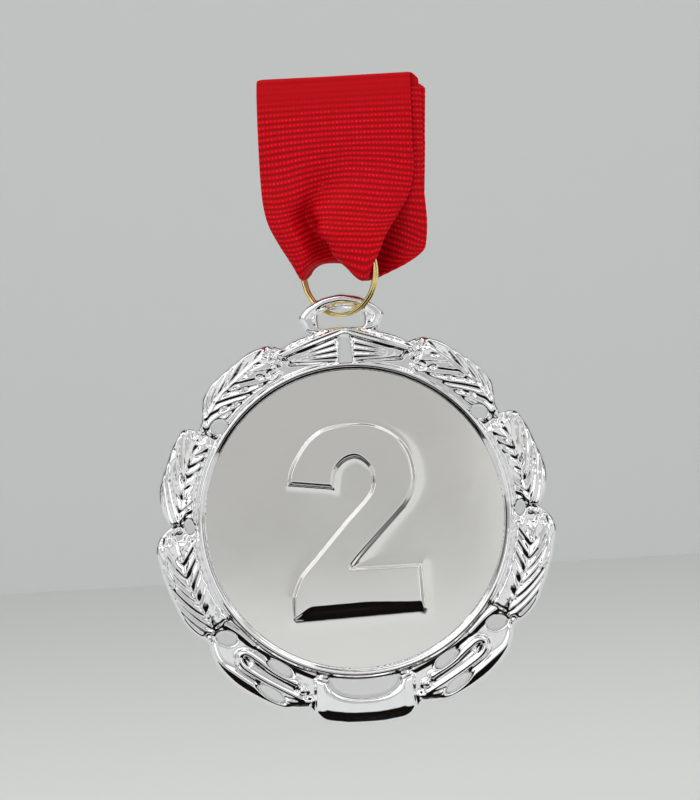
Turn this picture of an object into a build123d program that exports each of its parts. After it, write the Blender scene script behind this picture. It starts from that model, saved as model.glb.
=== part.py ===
from build123d import *
from math import cos, radians, sin
import os

# Second-place medal: a cast laurel medal with a number disc, hung by a split ring on a folded ribbon.
# Frame, in mm: the origin is the top of the ribbon fold that the object hangs by, +Z is up, +X is to
# the right as the medal is read, and the medal faces -Y. The hinge plane of the ring is y = 0.

# Where things hang, below the origin
MEDAL_Z = -72.3  # centre of the medal's round field
RING_X = -0.15  # the ring's centre
RING_Z = -32.05
BAIL_Z = -37.0  # the bail bar's own centre, which the medal swings about

# Medal thickness, as depths in front of y = 0
BACK = -1.3  # flat back of the casting
FLOOR = -0.3  # floor of the recess
LEAF_LOW = 0.9  # the leaves' outer edge
LEAF_HIGH = 1.6  # the leaves' crown
RIM_TOP = 1.4  # the rim round the recess
BOW_TOP = 1.7

# Round field
DISC_R = 24.3
FIELD_R = 24.4
RIM_R = 25.5
ADHESIVE_T = 0.25
DISC_T = 0.65
NUMERAL_T = 0.75

# Bail
BAIL_HALF_T = 1.0
BAIL_EDGE = 0.45
EYE_HALF_W = 3.7
EYE_TOP = 34.3  # at the eye's waist, where it is smallest
EYE_WAIST = -0.1
EYE_FLARE_FRONT, EYE_FLARE_BACK = 1.2, 1.1  # how much higher the eye is at its two faces

# Split ring
WIRE_R = 0.34
RING_R = 6.9  # radius of the wire's centre line
TURN_PITCH = 0.72  # between the two turns, along the ring's axis
RING_TURN = 32.0  # degrees that the ring's plane is turned from the medal's
CLEAR = 0.35  # round the ring, where it passes the ribbon

# Ribbon
RIBBON_LEFT, RIBBON_RIGHT = -11.9, 14.1
FOLD_FRONT, FOLD_BACK = -2.4, 9.2  # y of the folded packet
FOLD_BOTTOM = -23.2
LOOP_TOP = -23.9
LOOP_AXIS_Z = -25.6  # the ribbon flexes about this line
SEAM_W, SEAM_H, SEAM_T = 25.0, 7.0, 0.5


def polar(angle, radius):
    """A point of the medal's face: degrees clockwise from the top, and distance from the centre."""
    return (radius * sin(radians(angle)), radius * cos(radians(angle)))


def face_plane(depth):
    """The plane of the medal's face, this far in front of y = 0."""
    return Plane(origin=(0, -depth, MEDAL_Z), x_dir=(1, 0, 0), z_dir=(0, -1, 0))


# The border's outline on the right, as angle and radius, from the roof below the bail to the bow
ROOF = [(0, 31.8), (10.8, 31.1), (16, 30.9), (20.2, 30.5)]
UPPER_LOBE = [(20.2, 30.5), (24, 32.1), (36, 32.4), (49, 32.1), (56.4, 29.4)]
MIDDLE_LOBE = [(56.4, 29.4), (58.8, 31.9), (69, 32.4), (82, 31.9), (89.2, 30.2)]
LOWER_LOBE = [(89.2, 30.2), (93, 32.5), (100, 33.0), (116, 32.6), (125.5, 31.5)]
SCROLL_LOBE = [(125.5, 31.5), (134, 33.0), (147, 33.6), (157, 33.2), (163.9, 32.0)]
BOW = [(163.9, 32.0), (167, 33.3), (173, 33.7), (180, 33.7)]
LEAF_LOBES = [UPPER_LOBE, MIDDLE_LOBE, LOWER_LOBE]

# Openings through the border: angle, radius, length round the medal, width
OPENINGS = [
    (52.5, 26.9, 2.6, 1.5),
    (89.5, 27.0, 2.1, 1.5),
    (130.0, 28.5, 3.0, 2.0),
    (151.0, 31.7, 3.9, 1.0),
    (151.5, 27.3, 3.5, 1.5),
]
TOP_SLOT_V, TOP_SLOT_W, TOP_SLOT_H = 27.7, 1.8, 4.2
BOW_OPENING_R, BOW_OPENING_W, BOW_OPENING_HALF_ANGLE = 27.6, 2.6, 10.0
RIVET_ANGLE, RIVET_R, RIVET_BALL = 159.6, 29.3, 0.75

# Numeral 2, centred on the field
NUMERAL = {
    "bowl": [(-10.5, 6.1), (-8.9, 10.6), (-4.3, 15.1), (0.1, 15.6), (7.2, 13.7), (10.2, 6.3), (8.4, 1.6)],
    "neck": (-0.8, -7.9),
    "base": [(10.3, -7.9), (10.5, -14.8), (-11.0, -14.7), (-10.6, -11.6)],
    "diagonal": [(-10.6, -11.6), (-6.8, -6.1), (-1.1, 0.1)],
    "inner": [(-1.1, 0.1), (1.8, 3.0), (3.3, 6.2), (2.8, 8.4), (0.5, 10.2), (-2.2, 8.9), (-3.2, 5.1)],
}

# ---------------------------------------------------------------- medal body
with BuildPart() as medal_body:
    # The pierced plate, with lobes of leaves round it
    with BuildSketch(face_plane(BACK)) as border:
        with BuildLine():
            for lobe in [ROOF, *LEAF_LOBES, SCROLL_LOBE, BOW]:
                Spline(*[polar(a, r) for a, r in lobe])
            mirror(about=Plane.YZ)
        make_face()
    extrude(amount=LEAF_LOW - BACK)

    # The leaves' crown, a step in from the outline
    with BuildSketch(face_plane(LEAF_LOW)):
        for side in (1, -1):
            for lobe in LEAF_LOBES:
                middle = (lobe[0][0] + lobe[-1][0]) / 2
                half = (lobe[-1][0] - lobe[0][0]) / 2 - 2.5
                with BuildLine():
                    outer = ThreePointArc(
                        polar(side * (middle - half), 30.9),
                        polar(side * middle, 31.5),
                        polar(side * (middle + half), 30.2),
                    )
                    inner = ThreePointArc(
                        polar(side * (middle - half), 28.2),
                        polar(side * middle, 27.6),
                        polar(side * (middle + half), 28.0),
                    )
                    Line(outer @ 0, inner @ 0)
                    Line(outer @ 1, inner @ 1)
                make_face()
    extrude(amount=LEAF_HIGH - LEAF_LOW)

    # The rim, and the recess for the number disc
    with BuildSketch(face_plane(LEAF_LOW)):
        Circle(RIM_R)
    extrude(amount=RIM_TOP - LEAF_LOW)
    with BuildSketch(face_plane(FLOOR)):
        Circle(FIELD_R)
    extrude(amount=RIM_TOP - FLOOR, mode=Mode.SUBTRACT)

    # The bow at the bottom, a raised band with its opening
    with BuildSketch(face_plane(LEAF_LOW)):
        with BuildLine():
            outer = ThreePointArc(polar(166, 32.7), polar(180, 33.0), polar(194, 32.7))
            inner = ThreePointArc(polar(166, 29.6), polar(180, 29.6), polar(194, 29.6))
            Line(outer @ 0, inner @ 0)
            Line(outer @ 1, inner @ 1)
        make_face()
    extrude(amount=BOW_TOP - LEAF_LOW)
    with BuildSketch(face_plane(BACK)):
        with BuildLine():
            low = BOW_OPENING_R - BOW_OPENING_W / 2
            high = BOW_OPENING_R + BOW_OPENING_W / 2
            left, right = 180 + BOW_OPENING_HALF_ANGLE, 180 - BOW_OPENING_HALF_ANGLE
            inner = ThreePointArc(polar(right, low), polar(180, low), polar(left, low))
            outer = ThreePointArc(polar(right, high), polar(180, high), polar(left, high))
            Line(inner @ 0, outer @ 0)
            Line(inner @ 1, outer @ 1)
        make_face()
    extrude(amount=BOW_TOP - BACK, mode=Mode.SUBTRACT)

    # The scrolls beside it: a round band along the outer edge, and a rivet-like ball
    for side in (1, -1):
        with BuildLine(face_plane(LEAF_LOW)) as scroll_path:
            ThreePointArc(polar(side * 129, 31.6), polar(side * 146, 32.6), polar(side * 162, 31.7))
        with BuildSketch(Plane(scroll_path.line @ 0, z_dir=scroll_path.line % 0)):
            Circle(0.75)
        sweep(path=scroll_path.line)
        u, v = polar(side * RIVET_ANGLE, RIVET_R)
        with Locations((u, -LEAF_LOW, MEDAL_Z + v)):
            Sphere(RIVET_BALL)

    # Openings through the border
    with BuildSketch(face_plane(BACK)):
        for side in (1, -1):
            for angle, radius, length, width in OPENINGS:
                with Locations(Location(polar(side * angle, radius), -side * angle)):
                    SlotOverall(length, width)
        with Locations((0, TOP_SLOT_V)):
            Rectangle(TOP_SLOT_W, TOP_SLOT_H)
    extrude(amount=BOW_TOP - BACK, mode=Mode.SUBTRACT)

    # The bail: a low arch with sloping shoulders, its eye widening towards the front
    with BuildSketch(face_plane(-BAIL_HALF_T)):
        with BuildLine():
            Polyline((0, 31.0), (5.7, 31.0), (6.9, 33.5), (5.4, 34.9))
            ThreePointArc((5.4, 34.9), (3.0, 36.4), (0, 36.95))
            mirror(about=Plane.YZ)
        make_face()
    extrude(amount=2 * BAIL_HALF_T)
    bail_edges = medal_body.edges().filter_by_position(Axis.Z, MEDAL_Z + 33.4, MEDAL_Z + 37.5)
    fillet(bail_edges, BAIL_EDGE)
    for depth, flare in ((BAIL_HALF_T, EYE_FLARE_FRONT), (BACK, EYE_FLARE_BACK)):
        for eye_depth, grow in ((EYE_WAIST, 0.0), (depth, flare)):
            with BuildSketch(face_plane(eye_depth)):
                with BuildLine():
                    Polyline(
                        (0, 31.6),
                        (EYE_HALF_W, 31.3),
                        (EYE_HALF_W + grow / 3, 34.0 + grow / 2),
                        (3.0, EYE_TOP + 0.8 * grow),
                        (1.2, EYE_TOP + grow),
                        (0, EYE_TOP + grow),
                    )
                    mirror(about=Plane.YZ)
                make_face()
        loft(mode=Mode.SUBTRACT)
medal_body.part.label = "medal_body"

# ---------------------------------------------------------------- number disc and its adhesive
with BuildPart() as disc_adhesive:
    with BuildSketch(face_plane(FLOOR)):
        Circle(DISC_R - 0.6)
    extrude(amount=ADHESIVE_T)
disc_adhesive.part.label = "disc_adhesive"

DISC_FRONT = FLOOR + ADHESIVE_T + DISC_T
with BuildPart() as number_disc:
    with BuildSketch(face_plane(FLOOR + ADHESIVE_T)):
        Circle(DISC_R)
    extrude(amount=DISC_T)
    with BuildSketch(face_plane(DISC_FRONT)):
        with BuildLine():
            Spline(*NUMERAL["bowl"])
            Line(NUMERAL["bowl"][-1], NUMERAL["neck"])
            Polyline(NUMERAL["neck"], *NUMERAL["base"])
            Spline(*NUMERAL["diagonal"])
            Spline(*NUMERAL["inner"])
            Line(NUMERAL["inner"][-1], NUMERAL["bowl"][0])
        make_face()
    extrude(amount=NUMERAL_T)
number_disc.part.label = "number_disc"

# ---------------------------------------------------------------- split ring
# Two flat turns of round wire, side by side, with a short cross-over at the top
ring_normal = Vector(sin(radians(RING_TURN)), cos(radians(RING_TURN)), 0)
ring_plane = Plane(origin=(RING_X, 0, RING_Z), x_dir=(0, 0, 1), z_dir=ring_normal)


def turn_point(angle, offset):
    """A point of the wire's centre line: degrees round from the top, and distance along the ring's axis."""
    return (RING_R * cos(radians(angle)), RING_R * sin(radians(angle)), offset)


HALF_PITCH = TURN_PITCH / 2
END_GAP, CROSS_OVER = 2.0, 26.0  # degrees
with BuildPart() as split_ring:
    with BuildLine(ring_plane) as wire:
        first = ThreePointArc(
            turn_point(END_GAP, -HALF_PITCH),
            turn_point(180, -HALF_PITCH),
            turn_point(360 - CROSS_OVER / 2, -HALF_PITCH),
        )
        second = ThreePointArc(
            turn_point(CROSS_OVER / 2, HALF_PITCH),
            turn_point(180, HALF_PITCH),
            turn_point(358 - END_GAP, HALF_PITCH),
        )
        Spline(first @ 1, second @ 0, tangents=(first % 1, second % 0))
    with BuildSketch(Plane(wire.line @ 0, z_dir=wire.line % 0)):
        Circle(WIRE_R)
    sweep(path=wire.line)
split_ring.part.label = "split_ring"

# ---------------------------------------------------------------- ribbon
# The folded packet, its layers closed up, with rounded folds at the top
with BuildPart() as ribbon_fold:
    with BuildSketch(Plane.YZ.offset(RIBBON_LEFT)):
        with BuildLine():
            Polyline(
                (FOLD_FRONT + 0.3, -2.6),
                (FOLD_FRONT, FOLD_BOTTOM + 0.6),
                (FOLD_FRONT + 0.6, FOLD_BOTTOM),
                (FOLD_BACK, FOLD_BOTTOM),
                (FOLD_BACK, -1.6),
            )
            ThreePointArc((FOLD_BACK, -1.6), (FOLD_BACK - 0.6, -0.5), (FOLD_BACK - 1.8, 0))
            Line((FOLD_BACK - 1.8, 0), (-0.4, 0))
            ThreePointArc((-0.4, 0), (-1.7, -0.9), (FOLD_FRONT + 0.3, -2.6))
        make_face()
    extrude(amount=RIBBON_RIGHT - RIBBON_LEFT)
ribbon_fold.part.label = "ribbon_fold"

# The two strands gathered down through the ring, with a channel where the ring passes
with BuildPart() as ribbon_loop:
    with BuildSketch(Plane.XZ.offset(-6)):
        with BuildLine():
            Polyline(
                (RIBBON_LEFT + 0.6, LOOP_TOP),
                (-9.4, -28.2),
                (-6.7, -32.4),
                (-4.6, -30.9),
                (0.4, -31.6),
                (4.4, -33.4),
                (9.2, -30.4),
                (RIBBON_RIGHT - 0.6, -27.2),
                (RIBBON_RIGHT - 0.4, LOOP_TOP),
                close=True,
            )
        make_face()
    extrude(amount=12)
    with BuildSketch(Plane.YZ.offset(-20)):
        with BuildLine():
            Polyline((-4.0, LOOP_AXIS_Z - 0.2), (-4.9, -29.0), (-4.4, -31.6), (-1.6, -33.6),
                     (1.6, -33.6), (4.4, -31.6), (4.9, -29.0), (4.0, LOOP_AXIS_Z - 0.2),
                     (2.6, LOOP_AXIS_Z + 0.7), (0, LOOP_TOP), (-2.6, LOOP_AXIS_Z + 0.7), close=True)
        make_face()
    extrude(amount=40, mode=Mode.INTERSECT)
    with BuildSketch(Plane(origin=(RING_X, 0, RING_Z), x_dir=(0, 0, 1),
                           z_dir=(-cos(radians(RING_TURN)), sin(radians(RING_TURN)), 0))):
        with Locations((RING_R, 0)):
            RectangleRounded(
                2 * (WIRE_R + CLEAR),
                2 * (HALF_PITCH + WIRE_R + CLEAR),
                0.3,
            )
    revolve(axis=Axis((RING_X, 0, RING_Z), ring_normal), mode=Mode.SUBTRACT)
ribbon_loop.part.label = "ribbon_loop"

# The lap that joins the ribbon's ends, sewn to the back of the packet
with BuildPart() as ribbon_seam:
    with Locations((RIBBON_LEFT + 0.4 + SEAM_W / 2, FOLD_BACK + SEAM_T / 2, -12.0)):
        Box(SEAM_W, SEAM_T, SEAM_H)
ribbon_seam.part.label = "ribbon_seam"

os.makedirs("parts", exist_ok=True)
for piece in (medal_body, disc_adhesive, number_disc, split_ring, ribbon_fold, ribbon_loop, ribbon_seam):
    export_step(piece.part, f"parts/{piece.part.label}.step")
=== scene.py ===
"""Second-place laurel medal on a folded red ribbon: the looks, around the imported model."""
import math

import bpy
import bmesh
import numpy as np
from mathutils import Matrix, Vector
from mathutils.geometry import tessellate_polygon


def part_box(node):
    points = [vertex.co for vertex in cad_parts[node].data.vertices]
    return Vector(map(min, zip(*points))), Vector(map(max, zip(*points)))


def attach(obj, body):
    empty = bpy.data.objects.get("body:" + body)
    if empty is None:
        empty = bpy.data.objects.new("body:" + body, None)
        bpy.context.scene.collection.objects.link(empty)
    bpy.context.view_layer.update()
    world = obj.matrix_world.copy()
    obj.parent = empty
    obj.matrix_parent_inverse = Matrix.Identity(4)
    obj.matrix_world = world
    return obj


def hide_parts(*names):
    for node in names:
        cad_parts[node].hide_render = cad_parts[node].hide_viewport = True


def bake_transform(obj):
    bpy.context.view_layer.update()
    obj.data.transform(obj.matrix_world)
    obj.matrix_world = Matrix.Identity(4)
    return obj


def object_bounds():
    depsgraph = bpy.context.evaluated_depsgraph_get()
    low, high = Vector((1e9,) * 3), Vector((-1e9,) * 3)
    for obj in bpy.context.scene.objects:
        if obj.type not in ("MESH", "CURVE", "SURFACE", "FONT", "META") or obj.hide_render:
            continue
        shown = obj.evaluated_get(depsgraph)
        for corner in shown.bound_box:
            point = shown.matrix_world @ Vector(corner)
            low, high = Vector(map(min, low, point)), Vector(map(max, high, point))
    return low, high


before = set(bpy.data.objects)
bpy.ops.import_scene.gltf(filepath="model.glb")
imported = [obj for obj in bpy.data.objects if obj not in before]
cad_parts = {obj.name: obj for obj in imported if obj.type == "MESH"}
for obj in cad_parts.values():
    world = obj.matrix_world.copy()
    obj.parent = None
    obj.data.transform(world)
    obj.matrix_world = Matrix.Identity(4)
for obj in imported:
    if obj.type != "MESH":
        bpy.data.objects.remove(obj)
cad_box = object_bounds()

MM = 0.001
TINY = 1e-9  # as good as nothing, and keeps a division from meeting zero
FAR = 9.0  # mm, beyond the reach of any shape of the relief

# ---------- places, from the frame (mm)


def node_box(node):
    """A CAD node's lowest and highest corners, in mm."""
    low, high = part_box(node)
    return np.array(low) / MM, np.array(high) / MM


disc_low, disc_high = node_box("number_disc")
pad_low, pad_high = node_box("disc_adhesive")
seam_low, seam_high = node_box("ribbon_seam")
DISC_T = 0.65  # the disc's thickness beside its numeral
RIM_GAP = 0.05  # from the CAD's disc out to the wall of the rim
MEDAL_Z = (pad_low[2] + pad_high[2]) / 2  # centre of the medal's round field
FIELD_R = (disc_high[0] - disc_low[0]) / 2 + RIM_GAP

# Depths in front of y = 0
DISC_FRONT = -pad_low[1] + DISC_T
DISC_BACK = -disc_high[1]
BACK = -node_box("medal_body")[1][1]
FLOOR = -pad_high[1]

# ---------- small tools


def polar(angle, radius):
    """A point of the medal's face: degrees clockwise from the top, and distance from the centre."""
    a = math.radians(angle)
    return np.array((radius * math.sin(a), radius * math.cos(a)))


def around(*places):
    """Points of the medal's face, from (angle, radius) pairs."""
    return [polar(*place) for place in places]


def unit(x):
    """x, held between 0 and 1."""
    return np.clip(x, 0, 1)


def round_over(x):
    """The height of a half circle of radius 1, at x from its middle."""
    return np.sqrt(unit(1 - x ** 2))


def bell(x, width):
    """1 at x = 0, falling away to both sides over this width."""
    return np.exp(-((x / width) ** 2))


def smoothstep(x, low, high):
    """0 below low, 1 above high, and a smooth rise between them."""
    t = unit((x - low) / (high - low))
    return t * t * (3 - 2 * t)


def hermite(x, points):
    """A smooth curve through (x, y) points, evaluated at x."""
    px = np.array([p[0] for p in points], float)
    py = np.array([p[1] for p in points], float)
    slope = np.gradient(py, px)
    i = np.clip(np.searchsorted(px, x) - 1, 0, len(px) - 2)
    h = px[i + 1] - px[i]
    t = unit((x - px[i]) / h)
    a, b = py[i], py[i + 1]
    ma, mb = slope[i] * h, slope[i + 1] * h
    t2, t3 = t * t, t * t * t
    return (2 * t3 - 3 * t2 + 1) * a + (t3 - 2 * t2 + t) * ma + (3 * t2 - 2 * t3) * b + (t3 - t2) * mb


def catmull(points, steps):
    """Points along a smooth curve through the given ones, with so many steps between each two."""
    p = np.array(points, float)
    last = len(p) - 1
    out = []
    for i in range(last):
        p0, p1, p2, p3 = p[max(i - 1, 0)], p[i], p[i + 1], p[min(i + 2, last)]
        for t in np.arange(steps) / steps:
            out.append(
                0.5 * ((2 * p1) + (p2 - p0) * t + (2 * p0 - 5 * p1 + 4 * p2 - p3) * t * t
                       + (3 * p1 - p0 - 3 * p2 + p3) * t ** 3)
            )
    out.append(p[-1])
    return np.array(out)


def path_distance(u, v, path):
    """Distance to a polyline."""
    best = np.full(u.shape, 1e9)
    for a, b in zip(path[:-1], path[1:]):
        d = b - a
        t = unit(((u - a[0]) * d[0] + (v - a[1]) * d[1]) / (d @ d + 1e-12))
        best = np.minimum(best, np.hypot(u - a[0] - t * d[0], v - a[1] - t * d[1]))
    return best


def smooth(field, passes):
    """Blur a grid of values in place, by averaging each with its neighbours."""
    for _ in range(passes):
        for grid in (field, field.T):
            grid[1:-1] = (grid[:-2] + 2 * grid[1:-1] + grid[2:]) / 4


def add_object(name, data):
    """A new object of the scene."""
    obj = bpy.data.objects.new(name, data)
    bpy.context.collection.objects.link(obj)
    return obj


def polygon_sdf(u, v, loop):
    """Signed distance to a closed polygon, positive inside."""
    closed = np.vstack([loop, loop[:1]])
    dist = path_distance(u, v, closed)
    inside = np.zeros(u.shape, bool)
    for k in range(len(loop)):
        (x0, y0), (x1, y1) = closed[k], closed[k + 1]
        if y0 != y1:
            inside ^= ((y0 > v) != (y1 > v)) & (u < (x1 - x0) * (v - y0) / (y1 - y0) + x0)
    return np.where(inside, dist, -dist)


# ---------- relief meshes


def round_pairs(loop):
    """Each item of a closed loop with the one after it."""
    return zip(loop, loop[1:] + loop[:1])


def relief_mesh(name, u, v, depth, inside, floors, bevel=0.18):
    """A closed mesh from a height field. u and v are the grid's columns and rows, depth its height towards
    the viewer, and inside its silhouette, positive where there is metal. floors gives, for points of the
    silhouette, the depth that the wall goes back to and whether the wall turns in at the back."""
    rows, cols = depth.shape
    gu, gv = np.gradient(inside, v, u)[::-1]
    steep = np.hypot(gu, gv) + TINY
    index = -np.ones((rows, cols), int)
    keep = inside > 0
    index[keep] = np.arange(keep.sum())
    grid = np.dstack([*np.meshgrid(u, v), depth])
    points = grid[keep]
    cuts = {}
    extra = []

    def cut(a, b):
        """The vertex where the silhouette crosses the grid edge from a to b."""
        key = (a, b) if a < b else (b, a)
        if key not in cuts:
            cuts[key] = len(points) + len(cuts)
            t = inside[a] / (inside[a] - inside[b])
            extra.append(grid[a] + t * (grid[b] - grid[a]))
        return cuts[key]

    corner = keep[:-1, :-1].astype(int) + keep[:-1, 1:] + keep[1:, 1:] + keep[1:, :-1]
    full = corner == 4
    r, c = np.nonzero(full)
    faces = np.stack([index[r, c], index[r, c + 1], index[r + 1, c + 1], index[r + 1, c]], 1).tolist()
    for r, c in zip(*np.nonzero((corner > 0) & ~full)):
        loop = []
        for a, b in round_pairs([(r, c), (r, c + 1), (r + 1, c + 1), (r + 1, c)]):
            if keep[a]:
                loop.append(index[a])
            if keep[a] != keep[b]:
                loop.append(cut(a, b))
        if len(loop) >= 3:
            faces.append([int(i) for i in loop])
    points = np.vstack([points, extra])

    # Boundary edges, with the metal on their left
    used = dict.fromkeys(pair for face in faces for pair in round_pairs(face))
    following = {a: b for a, b in used if (b, a) not in used}
    loops = []
    while following:
        first = next(iter(following))
        loop = [first]
        nxt = following.pop(first)
        while nxt != first and nxt in following:
            loop.append(nxt)
            nxt = following.pop(nxt)
        loops.append(loop)

    def inward_at(p):
        """The direction into the metal at points of the silhouette."""
        c = np.clip(np.searchsorted(u, p[:, 0]) - 1, 0, cols - 2)
        r = np.clip(np.searchsorted(v, p[:, 1]) - 1, 0, rows - 2)
        return np.stack([gu[r, c] / steep[r, c], gv[r, c] / steep[r, c]], 1)

    # Walls, from the silhouette back
    back_loops = []
    for loop in loops:
        p = points[loop]
        floor, turns_in = floors(p[:, 0], p[:, 1])
        end = p.copy()
        end[:, 2] = floor
        stages = [end]
        if turns_in:
            low = p.copy()
            low[:, 2] = np.minimum(floor + bevel, p[:, 2] - 0.02)
            end[:, :2] += inward_at(p) * bevel * 0.8
            stages = [low, end]
        before = loop
        for stage in stages:
            ids = list(range(len(points), len(points) + len(loop)))
            points = np.vstack([points, stage])
            faces += [[b, a, c, d] for (a, b), (c, d) in zip(round_pairs(before), round_pairs(ids))]
            before = ids
        back_loops.append((before, turns_in))

    # The flat back, and the floor of the recess as a fan round its middle
    outer = [loop for loop, turns_in in back_loops if turns_in]
    flat = [[Vector((*points[i][:2], 0)) for i in loop] for loop in outer]
    flat_ids = [i for loop in outer for i in loop]
    for tri in tessellate_polygon(flat):
        a, b, c = (flat_ids[i] for i in tri)
        pa, pb, pc = points[a], points[b], points[c]
        area = (pb[0] - pa[0]) * (pc[1] - pa[1]) - (pb[1] - pa[1]) * (pc[0] - pa[0])
        if abs(area) < TINY:
            continue
        faces.append([a, c, b] if area > 0 else [a, b, c])
    for loop, turns_in in back_loops:
        if not turns_in:
            hub = len(points)
            points = np.vstack([points, points[loop].mean(axis=0)])
            faces += [[b, a, hub] for a, b in round_pairs(loop)]

    mesh = bpy.data.meshes.new(name)
    xyz = np.stack([points[:, 0], -points[:, 2], points[:, 1] + MEDAL_Z], 1) * MM
    mesh.from_pydata(xyz.tolist(), [], faces)
    mesh.validate()
    obj = add_object(name, mesh)
    finish_normals(obj, 60)
    # The edge of the flat back is sharp all round
    on_back = np.zeros(len(points), bool)
    on_back[[i for loop, _ in back_loops for i in loop]] = True
    ends = np.zeros(len(mesh.edges) * 2, int)
    mesh.edges.foreach_get("vertices", ends)
    sharp = np.zeros(len(mesh.edges), bool)
    marks = mesh.attributes["sharp_edge"].data
    marks.foreach_get("value", sharp)
    sharp |= on_back[ends.reshape(-1, 2)].all(axis=1)
    marks.foreach_set("value", sharp)
    return obj


def finish_normals(obj, angle):
    """Consistent outward normals, smooth except across edges sharper than the angle."""
    bm = bmesh.new()
    bm.from_mesh(obj.data)
    bmesh.ops.recalc_face_normals(bm, faces=bm.faces)
    bm.to_mesh(obj.data)
    bm.free()
    obj.data.shade_smooth()
    obj.data.set_sharp_from_angle(angle=math.radians(angle))


# ---------- the casting's silhouette
# The border's outline, lobe by lobe from the top, as (angle, radius)
ROOF = [(0, 31.8), (10.8, 31.1), (16, 30.8), (20.2, 30.4)]
UPPER_LOBE = [(20.2, 30.4), (21.4, 31.0), (23.4, 31.7), (26, 32.1), (36, 32.2),
              (45.5, 32.1), (48.5, 31.7), (50.5, 31.0), (53.5, 29.9), (57.2, 29.4)]
MIDDLE_LOBE = [(57.2, 29.4), (57.8, 30.7), (59, 31.6), (62, 32.0), (70, 32.1),
               (80, 32.2), (84.5, 31.5), (89, 30.1)]
LOWER_LOBE = [(89, 30.1), (91.5, 31.7), (94, 32.6), (101, 32.8), (112, 32.6),
              (118, 32.6), (122.2, 32.2), (126.8, 31.2)]
SCROLL_LOBE = [(126.8, 31.2), (129.5, 32.0), (133, 32.8), (139, 33.4), (147.4, 33.5),
               (155, 33.3), (163.9, 32.0)]
BOW = [(163.9, 32.0), (167, 33.3), (173, 33.7), (180, 33.7)]
LOBES = [ROOF, UPPER_LOBE, MIDDLE_LOBE, LOWER_LOBE, SCROLL_LOBE, BOW]
RIM_IN, RIM_OUT = FIELD_R, 25.6
GRID = 0.14  # spacing of the casting's height field
FIELD_OUT, FIELD_TOP = 34.8, 37.8  # how far it reaches sideways and down, and up
# The bow's opening: radius of its inner edge, its height and its half width
BOW_R, BOW_HIGH, BOW_WIDE = 26.35, 2.45, 5.5
BAIL_LOW_V = 29.5  # all of the bail lies above
BAIL_STEP = 0.3  # the back of the bail stands forward of the flat back


def outline_radius(angle):
    """The border's outer radius at an angle from the top."""
    radius = np.zeros_like(angle)
    for lobe in LOBES:
        here = (angle >= lobe[0][0]) & (angle <= lobe[-1][0])
        radius = np.where(here, hermite(angle, lobe), radius)
    return radius


def ellipse(u, v, angle, radius, length, width, tilt):
    """Roughly the distance inside an elliptical opening, its long side round the medal."""
    centre = polar(angle, radius)
    a = math.radians(-angle + tilt)
    du, dv = u - centre[0], v - centre[1]
    x = (du * math.cos(a) + dv * math.sin(a)) / (length / 2)
    y = (-du * math.sin(a) + dv * math.cos(a)) / (width / 2)
    r = np.hypot(x, y) + TINY
    return (1 - r) * min(length, width) / 2


BAIL_OUTLINE = [(-6.0, 30.4), (-7.5, 33.3), (-6.1, 34.9), (-3.4, 36.4), (-0.3, 36.95),
                (2.8, 36.4), (5.4, 34.9), (6.9, 33.3), (5.4, 30.4)]
EYE = [(-3.9, 31.3), (-4.1, 32.8), (-3.9, 33.9), (-2.4, 34.3), (-0.3, 34.35), (1.8, 34.3),
       (3.2, 33.9), (3.4, 32.8), (3.2, 31.3), (-0.3, 31.7)]


def rounded(points, cut):
    """The corners of a closed outline, each cut back to a short curve."""
    p = np.array(points, float)
    out = []
    for i in range(len(p)):
        a, b, c = p[i - 1], p[i], p[(i + 1) % len(p)]
        for t in (0.0, 0.5, 1.0):
            start, end = b + (a - b) * cut, b + (c - b) * cut
            out.append((1 - t) ** 2 * start + 2 * t * (1 - t) * b + t * t * end)
    return np.array(out)


middle = int(round(FIELD_OUT / GRID))  # the column on the centre line
us = np.arange(-middle, middle + 1) * GRID
vs = np.arange(int(-FIELD_OUT / GRID), int(FIELD_TOP / GRID)) * GRID
U, V = np.meshgrid(us, vs)
A = np.abs(U)  # both sides are alike
R = np.hypot(U, V)
T = np.degrees(np.arctan2(A, V))

border_sdf = np.minimum(outline_radius(T) - R, R - RIM_IN)
# Openings between the lobes, as (angle, radius, length, width, tilt)
holes = np.maximum.reduce([ellipse(A, V, *opening) for opening in (
    (52.4, 26.8, 2.3, 1.7, 24), (89.3, 27.0, 2.1, 1.2, -8), (129.6, 28.6, 3.0, 2.0, -34),
    (151.2, 31.6, 4.4, 1.25, 6), (150.2, 27.2, 3.9, 1.3, 6))])
# A narrow upright slot under the bail, and the bow's opening at the bottom
SLOT_LOW, SLOT_HIGH = 25.75, 29.75
slot_half = 0.92 - 0.1 * np.clip(V - 26, 0, 4)
holes = np.maximum(holes, np.minimum(slot_half - A, np.minimum(V - SLOT_LOW, SLOT_HIGH - V)))
bow_half = np.radians(180 - T) * R
bow_shape = ((bow_half / BOW_WIDE) ** 2.8 + (np.clip(R - BOW_R, 0, FAR) / BOW_HIGH) ** 2.4) ** 0.4
bow_hole = np.minimum((1 - bow_shape) * BOW_HIGH, R - BOW_R)
holes = np.maximum(holes, bow_hole)
near_bail = V > BAIL_LOW_V
bail_sdf, eye_sdf = np.full((2, *U.shape), -FAR)
for sdf, shape in ((bail_sdf, rounded(BAIL_OUTLINE, 0.22)), (eye_sdf, rounded(EYE, 0.3))):
    sdf[near_bail] = polygon_sdf(U[near_bail], V[near_bail], shape)
silhouette = np.minimum(np.maximum(border_sdf, bail_sdf), np.minimum(-holes, -eye_sdf))

# ---------- the casting's relief
WEB = 0.72  # depth of the ground between the leaves
EDGE_LIP = 0.25  # width of the plain lip along the outline of the scrolls and the bow
LOBE_R = 29.5  # middle radius of the lobes
BARBS = 64  # so many different barbs, before they repeat
relief = np.full(U.shape, WEB)


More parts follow.
